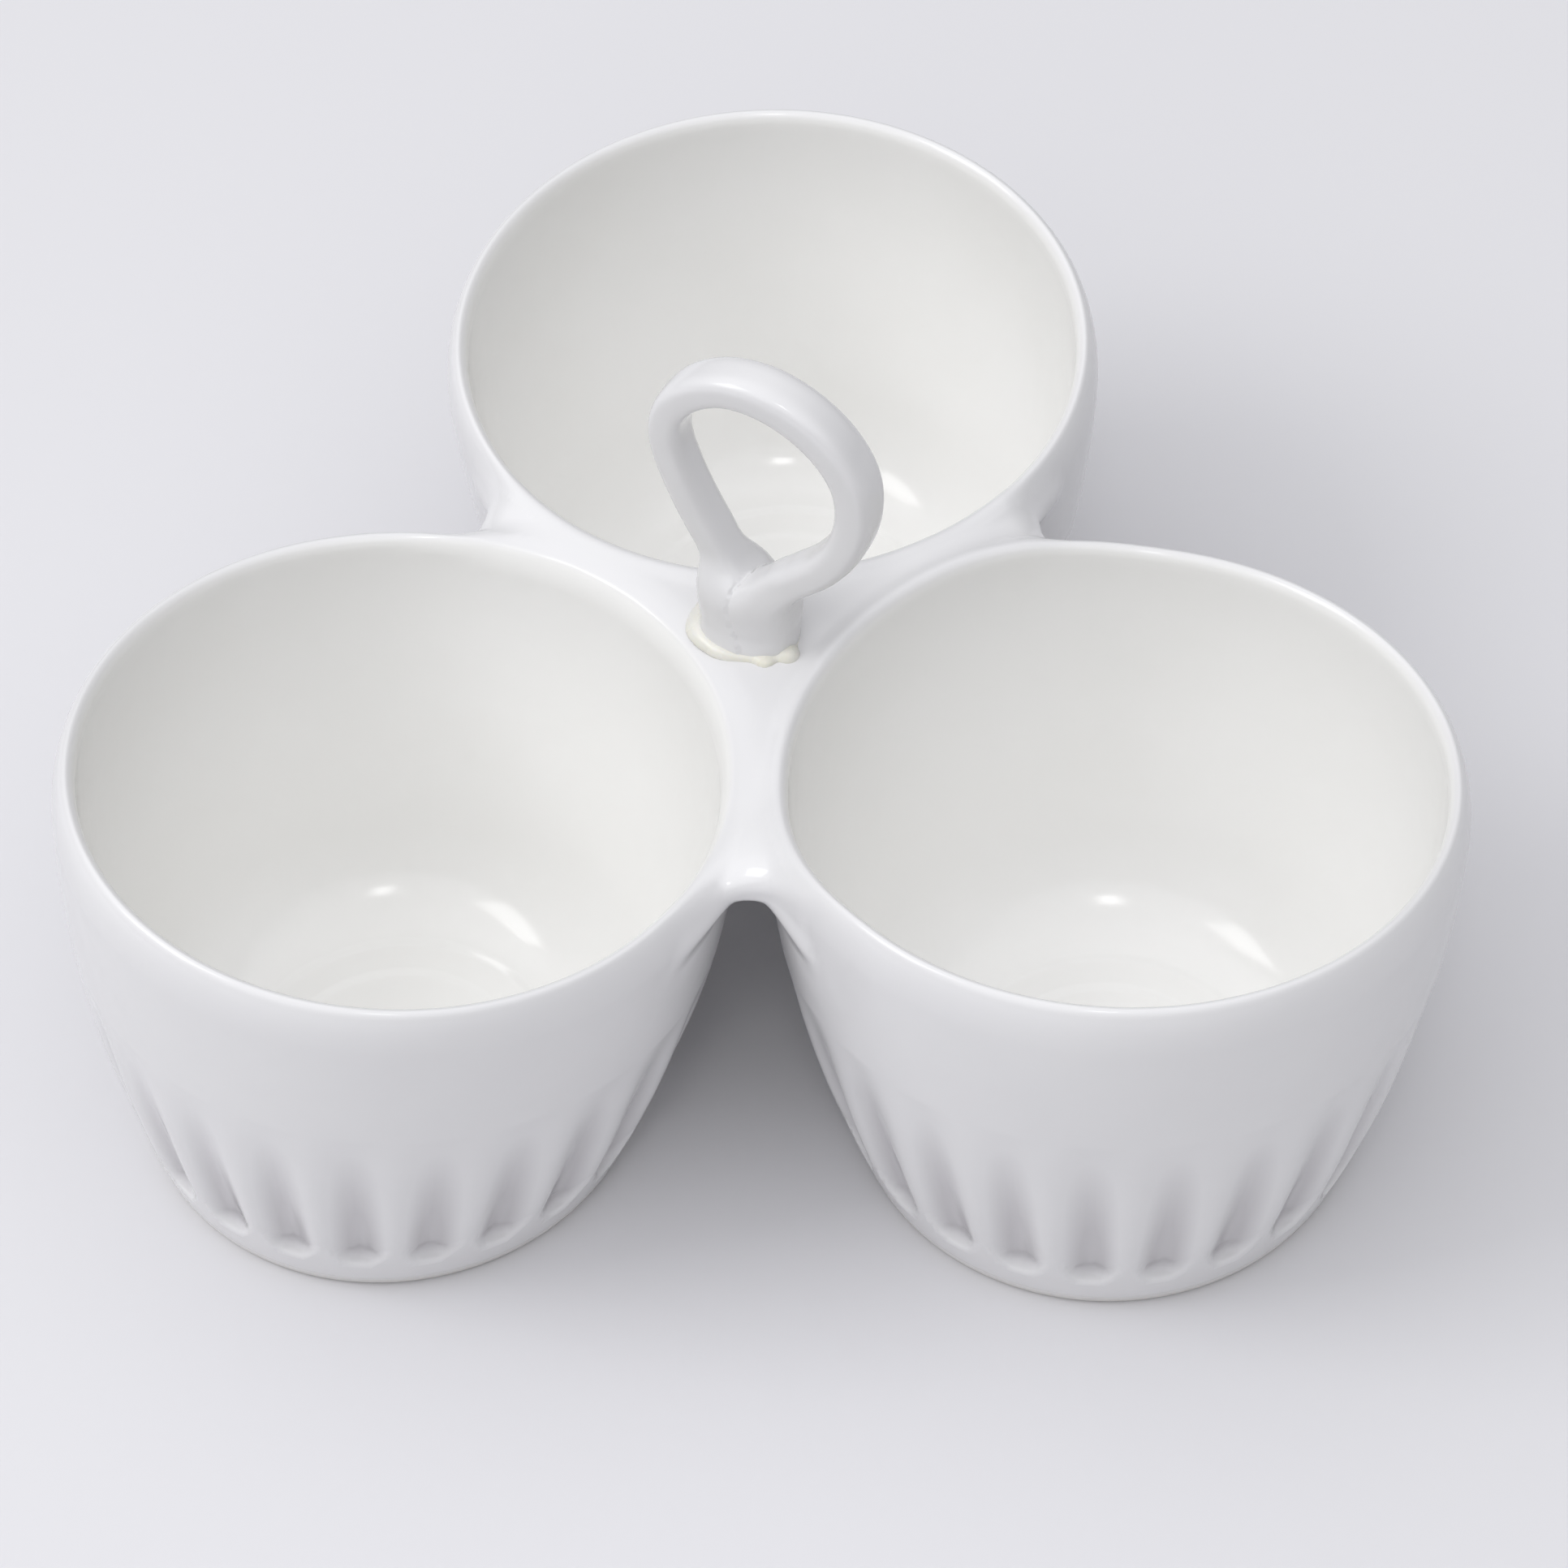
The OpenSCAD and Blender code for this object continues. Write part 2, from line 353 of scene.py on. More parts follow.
def surface_net(field, low, high, step):
    """Quads over the skin, with one vertex in each lattice cell that the skin passes through."""
    first = np.floor(np.array(low) / step).astype(int) - 1
    last = np.ceil(np.array(high) / step).astype(int) + 1
    # The lattice is set off a little, so that no flat face of the solid lies in a lattice plane.
    axes = [(np.arange(first[i], last[i] + 1) + 0.37) * step for i in range(3)]
    points = np.stack(np.meshgrid(*axes, indexing="ij"), -1)
    value = np.stack([field(sheet) for sheet in points])
    cells = tuple(n - 1 for n in value.shape)
    total = np.zeros(cells + (3,))
    count = np.zeros(cells)
    for axis in range(3):
        sides = np.moveaxis(value, axis, 0)
        near, far = sides[:-1], sides[1:]
        crosses = (near < 0) != (far < 0)
        share = near / np.where(crosses, near - far, 1)
        place = np.moveaxis(points, axis, 0)[:-1] * crosses[..., None]
        place[..., axis] += share * step * crosses
        total_side, count_side = np.moveaxis(total, axis, 0), np.moveaxis(count, axis, 0)
        for b in (0, 1):
            for c in (0, 1):
                end_b, end_c = crosses.shape[1] - 1 + b, crosses.shape[2] - 1 + c
                total_side += place[:, b:end_b, c:end_c]
                count_side += crosses[:, b:end_b, c:end_c]
    active = count > 0
    number = np.full(cells, -1)
    number[active] = np.arange(active.sum())
    quads = []
    for axis in range(3):
        sides = np.moveaxis(value, axis, 0)
        crosses = (sides[:-1] < 0) != (sides[1:] < 0)
        crosses[:, [0, -1]] = False
        crosses[:, :, [0, -1]] = False
        i, j, k = np.nonzero(crosses)
        side = np.moveaxis(number, axis, 0)
        loop = np.stack([side[i, j - 1, k - 1], side[i, j, k - 1], side[i, j, k], side[i, j - 1, k]], -1)
        flip = (sides[i, j, k] >= 0) ^ (axis == 1)
        loop[flip] = loop[flip][:, ::-1]
        quads.append(loop)
    return total[active] / count[active][:, None], np.concatenate(quads)


def relax(field, p, quads, passes):
    """Evens out the quads by moving each vertex towards the middle of its neighbours, along the skin."""
    ends = np.concatenate([np.stack([quads[:, i], quads[:, (i + 1) % 4]], -1) for i in range(4)])
    count = np.bincount(ends[:, 0], minlength=len(p))
    for _ in range(passes):
        mean = np.stack([np.bincount(ends[:, 0], p[ends[:, 1], i], len(p)) for i in range(3)], -1)
        p = settle(field, p + 0.5 * (mean / count[:, None] - p), 1)
    return p


def split_quads(quads):
    return np.concatenate([quads[:, [0, 1, 2]], quads[:, [0, 2, 3]]])


def rotated(rows, start):
    """Each row of three turned so that it begins at its own start index."""
    order = (start[:, None] + np.arange(3)) % 3
    return np.take_along_axis(rows, order, 1)


def cut_along(field, seam, p, tris):
    """Splits the triangles that a seam crosses, so that the seam runs along their edges."""
    side = seam(p)
    near = np.unique(tris)
    near = near[np.abs(side[near]) < 0.5]
    slope, away = gradient(seam, p[near]), unit(gradient(field, p[near]))
    slope -= away * (slope * away).sum(-1, keepdims=True)
    on_seam = np.zeros(len(p), bool)
    on_seam[near] = np.abs(side[near]) < SNAP * np.linalg.norm(slope, axis=-1)
    sign = np.where(on_seam, 0, np.sign(side)).astype(int)
    marks = sign[tris]
    crossing = np.stack([marks[:, i] * marks[:, (i + 1) % 3] < 0 for i in range(3)], -1)
    count = crossing.sum(1)
    whole = tris[count == 0]
    ends = np.concatenate([tris[:, [i, (i + 1) % 3]][crossing[:, i]] for i in range(3)])
    ends = np.unique(np.sort(ends, 1), axis=0)
    share = side[ends[:, 0]] / (side[ends[:, 0]] - side[ends[:, 1]])
    fresh = p[ends[:, 0]] + (p[ends[:, 1]] - p[ends[:, 0]]) * share[:, None]
    key = {(a, b): len(p) + i for i, (a, b) in enumerate(ends.tolist())}

    def middle(a, b):
        pairs = np.sort(np.stack([a, b], -1), 1).tolist()
        return np.array([key[tuple(pair)] for pair in pairs], int)

    once = tris[count == 1]
    once = rotated(once, (np.argmax(crossing[count == 1], 1) + 2) % 3)
    m = middle(once[:, 1], once[:, 2])
    parts = [whole, np.stack([once[:, 0], once[:, 1], m], -1), np.stack([once[:, 0], m, once[:, 2]], -1)]
    twice = tris[count == 2]
    twice = rotated(twice, (np.argmin(crossing[count == 2], 1) + 2) % 3)
    m, n = middle(twice[:, 0], twice[:, 1]), middle(twice[:, 2], twice[:, 0])
    parts += [np.stack([twice[:, 0], m, n], -1), np.stack([m, twice[:, 1], twice[:, 2]], -1),
              np.stack([m, twice[:, 2], n], -1)]
    moved = np.nonzero(on_seam)[0]
    p = np.concatenate([p, fresh])
    moved = np.concatenate([moved, np.arange(len(p) - len(fresh), len(p))])
    p[moved] = settle_on_seam(field, seam, p[moved])
    return p, merge_short(p, np.concatenate(parts), moved)


def without_slivers(tris):
    """The triangles that have three different corners."""
    good = (tris[:, 0] != tris[:, 1]) & (tris[:, 1] != tris[:, 2]) & (tris[:, 2] != tris[:, 0])
    return tris[good]


def merge_short(p, tris, seam_points):
    """Joins neighbouring points of a seam that nearly coincide, wherever that leaves the surface whole."""
    on_seam = np.zeros(len(p), bool)
    on_seam[seam_points] = True
    ends = np.concatenate([tris[:, [i, (i + 1) % 3]] for i in range(3)])
    ends = np.unique(np.sort(ends[on_seam[ends].all(1)], 1), axis=0)
    short = ends[np.linalg.norm(p[ends[:, 0]] - p[ends[:, 1]], axis=1) < SHORTEST_EDGE]
    around = {v: set() for v in np.unique(short).tolist()}
    for tri in tris[np.isin(tris, short).any(1)].tolist():
        for v in tri:
            if v in around:
                around[v].update(tri)
    target = np.arange(len(p))
    used = set()
    for a, b in short.tolist():
        near = around[a] | around[b]
        if len(around[a] & around[b]) == 4 and not used & near:
            target[b] = a
            used |= near
    return without_slivers(target[tris])


def open_loops(tris, quads):
    """Vertices, in order, of each open edge loop of a surface."""
    steps = [np.stack([tris[:, i], tris[:, (i + 1) % 3]], -1) for i in range(3)]
    steps += [np.stack([quads[:, i], quads[:, (i + 1) % 4]], -1) for i in range(4)]
    steps = np.concatenate(steps)
    size = steps.max() + 1
    forward, backward = steps[:, 0] * size + steps[:, 1], steps[:, 1] * size + steps[:, 0]
    follow = dict(steps[~np.isin(forward, backward)].tolist())
    loops = []
    while follow:
        loop = [next(iter(follow))]
        while loop[-1] in follow:
            loop.append(follow.pop(loop[-1]))
        loops.append(loop[:-1])
    return loops


def seam_cap(cup, p, loop, facing):
    """Triangles that close a seam loop, found on the cup's unrolled wall, facing out of it or into it."""
    _, height, bearing = cup_frame(cup, p[loop])
    bearing = (bearing + 2 * math.pi) % (2 * math.pi)
    flat = [Vector((b * RIM_R, h)) for b, h in zip(bearing, height)]
    area = sum(a.cross(b) for a, b in zip(flat, flat[1:] + flat[:1]))
    ring = list(range(len(loop)))[:: 1 if area > 0 else -1]
    places, _, faces, origin, _, within = delaunay_2d_cdt(flat, [], [ring], 1, 1e-6, True)
    corners = []
    for place, source in zip(places, origin):
        nearest = source[0] if source else min(range(len(loop)), key=lambda i: (flat[i] - place).length)
        corners.append(loop[nearest])
    tris = np.array(corners)[np.array([face for face, source in zip(faces, within) if source])]
    tris = without_slivers(tris)
    looks = np.cross(p[tris[:, 1]] - p[tris[:, 0]], p[tris[:, 2]] - p[tris[:, 0]])
    slope = gradient(lambda q: cup_frame(cup, q)[0], p[tris].mean(1))
    wrong = (looks * slope).sum(-1) * facing < 0
    tris[wrong] = tris[wrong][:, ::-1]
    return tris


def make_mesh(name, p, faces, normals, extra=()):
    """An object from vertices in millimetres, faces whose shading follows normals, and flat extra faces."""
    everything = [list(map(int, face)) for group in faces for face in group]
    smooth_count = len(everything)
    everything += [list(map(int, face)) for face in extra]
    used = np.unique(np.concatenate([np.array(face) for face in everything]))
    renumber = np.full(used.max() + 1, -1)
    renumber[used] = np.arange(len(used))
    mesh = bpy.data.meshes.new(name)
    mesh.from_pydata(((p[used] + MIDDLE) * MM).tolist(), [], [renumber[face].tolist() for face in everything])
    mesh.polygons.foreach_set("use_smooth", np.ones(len(mesh.polygons), bool))
    mesh.update()
    corner = np.zeros(len(mesh.loops), int)
    mesh.loops.foreach_get("vertex_index", corner)
    custom = normals[used][corner]
    for polygon in mesh.polygons[smooth_count:]:
        for i in range(polygon.loop_start, polygon.loop_start + polygon.loop_total):
            custom[i] = polygon.normal
    mesh.normals_split_custom_set(custom.tolist())
    # The masks that steer the glaze's painted light inside the cups and painted shade outside and in the
    # flutes.
    inside, fluted = surface_shares(p[used])
    mesh.attributes.new("inside", "FLOAT", "POINT").data.foreach_set("value", inside)
    mesh.attributes.new("fluted", "FLOAT", "POINT").data.foreach_set("value", fluted)
    thing = bpy.data.objects.new(name, mesh)
    bpy.context.scene.collection.objects.link(thing)
    return thing


def surface_shares(p):
    """Masks for the glaze's painted light and shade: one in the cups' hollows and zero outside, and one deep
    in a flute and zero off it.
    """
    inside, fluted = np.zeros(len(p)), np.zeros(len(p))
    for cup in CUPS.values():
        radius, height, bearing = cup_frame(cup, p)
        lead = hollow_field(cup, radius, height) - shell_field(cup, radius, height, bearing)
        inside = np.maximum(inside, ease(lead / 3 + 0.5) * (height < CUP_H + 2))
        close = (np.abs(radius - outer_r(height, cup["swell"])) < FLUTE_DEPTH + 0.5) & (height < FLUTE_HIGH)
        fluted = np.maximum(fluted, close * flute_bite(cup, radius, height, bearing) / FLUTE_DEPTH)
    return inside, fluted


# ---- Cups and web ----
BEARINGS = FLUTES * 12
WEB_STEP = 0.8


def runs(*stretches):
    """Points (distance from the axis, height) along stretches given as distances and heights."""
    rows = [np.stack(np.broadcast_arrays(radius, height), -1) for radius, height in stretches]
    return np.concatenate(rows).astype(float)


def section(cup):
    """The cup's section, from the underside's middle round the foot and the lip to the floor's middle."""
    swell = cup["swell"]
    crest_r = outer_r(SHOULDER_Z, swell) - SHOULDER_W
    edge = np.array([2.0, 1.3, 0.8, 0.4, 0.1])
    flute_z = np.arange(2.6, FLUTE_HIGH + 3, 1.3)
    plain_z = np.arange(FLUTE_HIGH + 5, SHOULDER_Z, 2.2)
    outer_turn = np.radians(np.linspace(0, 90, 15))
    inner_turn = np.radians(np.linspace(0, 90, 10))[::-1]
    wall_z = np.arange(CUP_H - 4.0, FLOOR_T + CORNER_BLEND, -2.6)
    # Across the corner, where turn falls from one at the wall to zero at the floor, the blend stands
    # CORNER_BLEND * turn ** 2 above the floor and CORNER_BLEND * (1 - turn) ** 2 inside the wall.
    turn = np.linspace(0.95, 0.46, 10)
    corner_z = FLOOR_T + CORNER_BLEND * turn ** 2
    corner_r = inner_r(corner_z, swell) - CORNER_BLEND * (1 - turn) ** 2 / squareness(corner_z)
    rings_r = np.arange(29.0, 18.4, -0.5)
    inset = np.clip((inner_r(FLOOR_T + 1, swell) - rings_r) / CORNER_BLEND, 0, 1)
    rings_z = FLOOR_T + CORNER_BLEND * (1 - np.sqrt(inset)) ** 2
    brow_z = CUP_H - 2.2
    brow_w = crest_r - inner_r(brow_z, swell)
    return runs(
        (np.linspace(0, HOLLOW_R - 3, 9), RECESS),
        (HOLLOW_R - edge, RECESS),
        (HOLLOW_R, np.array([1.2, 0.8, 0.4])),
        (HOLLOW_R + edge[::-1], 0),
        (FOOT_R - edge, 0),
        (outer_r(edge[::-1], swell), edge[::-1]),
        (outer_r(flute_z, swell), flute_z),
        (outer_r(plain_z, swell), plain_z),
        (crest_r + SHOULDER_W * np.cos(outer_turn), SHOULDER_Z + SHOULDER_H * np.sin(outer_turn)),
        (crest_r - brow_w * np.cos(inner_turn[1:]), brow_z + 1.9 * np.sin(inner_turn[1:])),
        (inner_r(wall_z, swell), wall_z),
        (corner_r, corner_z),
        (rings_r, rings_z),
        (np.linspace(17.0, 0, 8), FLOOR_T),
    )


def push_out(p, away):
    """Moves points along their own directions onto the skin, but no more than a millimetre outwards."""
    moved = np.zeros(len(p))
    for _ in range(6):
        here = p + away * moved[:, None]
        value = skin_field(here)
        rate = (skin_field(here + away * TINY) - value) / TINY
        moved = np.clip(moved - value / np.maximum(rate, 0.3), -0.4, 1.0)
    return p + away * moved[:, None]


def lathe_points(cup, line):
    """A section turned round the cup's axis: its points, and the directions square to the section there."""
    run = unit(np.gradient(line, axis=0))
    bearing = np.arange(BEARINGS) * 2 * math.pi / BEARINGS
    radius, height = line[:, :1], line[:, 1:]
    p = on_cup(cup, radius + 0 * bearing, height + 0 * bearing, 0 * radius + bearing).reshape(-1, 3)
    out, side, _, _ = cup_axes(cup)
    spoke = np.outer(np.cos(bearing), out) + np.outer(np.sin(bearing), side)
    rise = np.broadcast_to(-run[:, None, :1], (len(run), BEARINGS, 1))
    away = np.concatenate([run[:, None, 1:] * spoke, rise], -1)
    return p, away.reshape(-1, 3)


def lathe_faces(row_count):
    """Quads between the rows of a lathe grid, and the fans that close its two ends."""
    ring = np.arange(BEARINGS)
    after = (ring + 1) % BEARINGS
    rows = np.arange(1, row_count - 2)[:, None] * BEARINGS
    above = rows + BEARINGS
    quads = np.stack([rows + ring, rows + after, above + after, above + ring], -1).reshape(-1, 4)
    last = (row_count - 1) * BEARINGS
    fans = [np.stack([0 * ring, after + BEARINGS, ring + BEARINGS], -1),
            np.stack([0 * ring + last, ring + last - BEARINGS, after + last - BEARINGS], -1)]
    return quads, fans


def settle_lathe(p, away):
    """Moves a lathe grid onto the skin; near the web its points keep their order along the section."""
    high = p[:, 2] > WEB_LOW - 12
    p[~high] = settle(skin_field, p[~high], 4)
    outside = high & (skin_field(p) > 0)
    p[outside] = settle(skin_field, p[outside], 6)
    pushed = high & ~outside
    p[pushed] = push_out(p[pushed], away[pushed])
    close = high & (np.abs(skin_field(p)) < 0.2)
    p[close] = settle(skin_field, p[close], 2)
    return p, high


def build_cup(name, cup):
    """A cup: a regular lathe grid settled onto the skin, parted from the web along its seam."""
    line = section(cup)
    p, high = settle_lathe(*lathe_points(cup, line))
    quads, fans = lathe_faces(len(line))
    near = (np.abs(seam_field(cup, p)) < 2) & high & (np.hypot(p[:, 0], p[:, 1]) < WEB_REACH + 22)
    cuttable = near[quads].any(1)
    tris = np.concatenate([split_quads(quads[cuttable]), *fans])
    quads = quads[~cuttable]
    p, tris = cut_along(skin_field, lambda q: seam_field(cup, q), p, tris)
    seam = seam_field(cup, p)
    tris, quads = tris[seam[tris].sum(1) < 0], quads[seam[quads].sum(1) < 0]
    cap = np.concatenate([seam_cap(cup, p, loop, 1) for loop in open_loops(tris, quads)])
    return make_mesh(name, p, (tris, quads), unit(gradient(skin_field, p)), cap)


def build_web():
    """The web: the skin between the three seams."""
    reach = WEB_REACH + 20
    low, high = (-reach, -reach, WEB_LOW - 10), (reach, reach, CUP_H + 3)
    p, quads = surface_net(skin_field, low, high, WEB_STEP)
    sides = np.stack([seam_field(cup, p) for cup in CUPS.values()], -1)
    inside_reach = np.hypot(p[:, 0], p[:, 1]) < reach - 3
    kept = ((sides > -3).all(-1) & inside_reach)[quads].all(1)
    quads = quads[kept]
    used, quads = np.unique(quads, return_inverse=True)
    p, quads = p[used], quads.reshape(-1, 4)
    p = settle(skin_field, p, 2)
    p = relax(skin_field, p, quads, 4)
    p = settle(skin_field, p, 2)
    tris = split_quads(quads)
    for cup in CUPS.values():
        p, tris = cut_along(skin_field, lambda q, cup=cup: seam_field(cup, q), p, tris)
    for cup in CUPS.values():
        tris = tris[seam_field(cup, p)[tris].sum(1) > 0]
    caps = []
    for loop in open_loops(tris, np.zeros((0, 4), int)):
        cup = min(CUPS.values(), key=lambda cup: np.abs(seam_field(cup, p[loop])).mean())
        caps.append(seam_cap(cup, p, loop, -1))
    return make_mesh("centre_web", p, (tris,), unit(gradient(skin_field, p)), np.concatenate(caps))


# ---- Handle ----
# The strap's middle line in the loop's own plane: along the plane, height, towards the front, and the
# strap's half thickness and half width there.
STRAP = [
    (-2.0, 82.0, -0.8, 2.8, 3.6), (-3.4, 89.0, -0.9, 2.7, 3.7), (-5.6, 95.0, -0.8, 2.6, 3.7),
    (-8.2, 101.4, -0.5, 2.6, 3.7), (-10.5, 108.4, -0.2, 2.6, 3.7), (-12.0, 115.4, 0.0, 2.7, 3.7),
    (-11.2, 121.6, 0.0, 2.8, 3.7), (-7.4, 127.0, 0.0, 2.9, 3.8), (-1.6, 130.4, 0.0, 3.0, 3.9),
    (5.0, 130.9, 0.0, 3.2, 4.0), (11.4, 128.6, 0.0, 3.3, 4.0), (16.6, 124.2, 0.0, 3.3, 4.0),
    (19.8, 118.2, 0.0, 3.3, 3.9), (20.3, 111.2, 0.2, 3.2, 3.8), (18.5, 104.6, 0.6, 3.1, 3.7),
    (15.0, 99.2, 1.2, 3.0, 3.6), (11.0, 95.6, 1.8, 3.0, 3.5), (7.6, 92.6, 2.2, 3.1, 3.4),
    (5.2, 89.0, 1.8, 3.2, 3.2), (4.2, 84.0, 0.6, 3.0, 3.0),
]
STALK_LEFT = 7.4
STALK_RIGHT = 7.0
STALK_DEEP = 5.6
STALK_TOP = 88.0
STALK_FLARE = 0.9
STRAP_BLEND = 6.5
BASE_Z = float(settle(skin_field, np.array([[0.0, 0.0, WEB_TOP]]), 8)[0, 2])
HANDLE_SINK = 0.4
STRAP_POWER = 3.4
HANDLE_SMOOTHING = 0.4
ALONG = np.array([math.cos(LOOP_TURN), math.sin(LOOP_TURN), 0])
FRONT = np.array([math.sin(LOOP_TURN), -math.cos(LOOP_TURN), 0])


def curve_through(points, per_span):
    """Points along a smooth curve through the given ones."""
    points = np.array(points, float)
    ends = np.concatenate([[2 * points[0] - points[1]], points, [2 * points[-1] - points[-2]]])
    rows = []
    for a, b, c, d in zip(ends, ends[1:], ends[2:], ends[3:]):
        for i in range(per_span):
            t = i / per_span
            rows.append(0.5 * (2 * b + (c - a) * t + (2 * a - 5 * b + 4 * c - d) * t * t
                               + (3 * b - a - 3 * c + d) * t ** 3))
    rows.append(points[-1])
    return np.array(rows)


STRAP_LINE = curve_through(STRAP, 12)


def strap_field(q):
    """The strap, for points given along the loop's plane, in height and towards the front."""
    line = STRAP_LINE[:, :3]
    run = unit(np.gradient(line, axis=0))
    best = np.full(q.shape[0], np.inf)
    which = np.zeros(q.shape[0], int)
    for i, point in enumerate(line):
        far = ((q - point) ** 2).sum(-1)
        closer = far < best
        best[closer] = far[closer]
        which[closer] = i
    offset = q - line[which]
    along = run[which]
    offset = offset - along * np.clip((offset * along).sum(-1), -0.6, 0.6)[:, None]
    front = np.array([0.0, 0.0, 1.0])
    across = unit(np.cross(np.broadcast_to(front, along.shape), along))
    ahead = unit(np.cross(along, across))
    thick, wide = STRAP_LINE[which, 3], STRAP_LINE[which, 4]
    u = np.abs((offset * across).sum(-1)) / thick
    v = np.abs((offset * ahead).sum(-1)) / wide
    end = (offset * along).sum(-1) / thick
    size = (u ** STRAP_POWER + v ** STRAP_POWER + np.abs(end) ** STRAP_POWER) ** (1 / STRAP_POWER)
    return (size - 1) * np.minimum(thick, wide)


def stalk_field(q):
    """The stalk: an oval post with a flared foot and a rounded top."""
    lift = q[:, 1] - BASE_Z
    flare = STALK_FLARE * (1 - ease(lift / 4.5))
    wide = np.where(q[:, 0] < 0, STALK_LEFT, STALK_RIGHT) + flare
    around = np.sqrt((q[:, 0] / wide) ** 2 + (q[:, 2] / (STALK_DEEP + flare)) ** 2)
    post = (around - 1) * (STALK_DEEP + flare)
    return smooth_max(post, q[:, 1] - STALK_TOP, 4.0)


def handle_field(p):
    """The strap run into its stalk, cut level a little below the web's top."""
    shape = p.shape[:-1]
    p = p.reshape(-1, 3)
    q = np.stack([p @ ALONG, p[:, 2], p @ FRONT], -1)
    solid = smooth_min(strap_field(q), stalk_field(q), STRAP_BLEND)
    solid = smooth_max(solid, BASE_Z - HANDLE_SINK - p[:, 2], 0.5)
    return solid.reshape(shape)


def bead_field(p):
    """The bead of adhesive squeezed out round the stalk's foot: fat at the left, a blob at the right."""
    along, front, up = p @ ALONG, p @ FRONT, p[..., 2] - BASE_Z + 0.3
    bearing = np.arctan2(front, along)
    wave = 0.25 * np.sin(3 * bearing + 0.6) + 0.15 * np.sin(7 * bearing + 2.0)
    leftward = 0.5 + 0.5 * np.cos(bearing - math.radians(178))
    middle_r = 7.2 + 1.2 * leftward
    wide = 1.0 + 1.2 * leftward ** 2 + wave
    tall = 1.0 + 1.1 * leftward + 0.3 * wave
    around = np.hypot(along, front * 1.15)
    ring = (np.sqrt(((around - middle_r) / wide) ** 2 + (up / tall) ** 2) - 1) * 1.3
    blob = np.sqrt((along - 7.9) ** 2 + (front - 2.6) ** 2 + (1.1 * (up - 0.3)) ** 2) - 2.0
    drop = np.sqrt((along - 5.2) ** 2 + (front - 5.2) ** 2 + (1.2 * up) ** 2) - 1.7
    solid = smooth_min(smooth_min(ring, blob, 1.2), drop, 1.2)
    return smooth_max(solid, -up, 0.4)


def build_from_field(name, field, low, high, step, passes):
    """A piece meshed straight from its field between two corners, shaded by the field's own slope."""
    p, quads = surface_net(field, low, high, step)
    p = settle(field, p, 2)
    p = relax(field, p, quads, passes)
    p = settle(field, p, 2)
    return make_mesh(name, p, [quads], unit(gradient(field, p, HANDLE_SMOOTHING)))


# ---- Materials ----
def new_material(name):
    material = bpy.data.materials.new(name)
    material.use_nodes = True
    tree = material.node_tree
    return material, tree, tree.nodes["Principled BSDF"]


def node(tree, kind, **settings):
    made = tree.nodes.new(kind)
    for key, value in settings.items():
        if key in made.inputs:
            made.inputs[key].default_value = value
        else:
            setattr(made, key, value)
    return made


def noise(tree, coords, scale, detail=3.0, roughness=0.5):
    made = node(tree, "ShaderNodeTexNoise", Scale=scale, Detail=detail, Roughness=roughness)
    tree.links.new(coords, made.inputs["Vector"])
    return made.outputs["Fac"]


def ramp(tree, value, stops):
    made = tree.nodes.new("ShaderNodeValToRGB")
    elements = made.color_ramp.elements
    while len(elements) < len(stops):
        elements.new(0.5)
    for element, (place, colour) in zip(elements, stops):
        element.position = place
        element.color = (*colour, 1)
    tree.links.new(value, made.inputs["Fac"])
    return made.outputs["Color"]


def mix(tree, share, a, b):
    made = tree.nodes.new("ShaderNodeMix")
    made.data_type = "RGBA"
    for socket, value in ((made.inputs[0], share), (made.inputs[6], a), (made.inputs[7], b)):
        if isinstance(value, bpy.types.NodeSocket):
            tree.links.new(value, socket)
        else:
            socket.default_value = value if isinstance(value, float) else (*value, 1)
    return made.outputs[2]


def bump(tree, height, strength, distance, normal=None):
    made = node(tree, "ShaderNodeBump", Strength=strength, Distance=distance)
    tree.links.new(height, made.inputs["Height"])
    if normal is not None:
        tree.links.new(normal, made.inputs["Normal"])
    return made.outputs["Normal"]


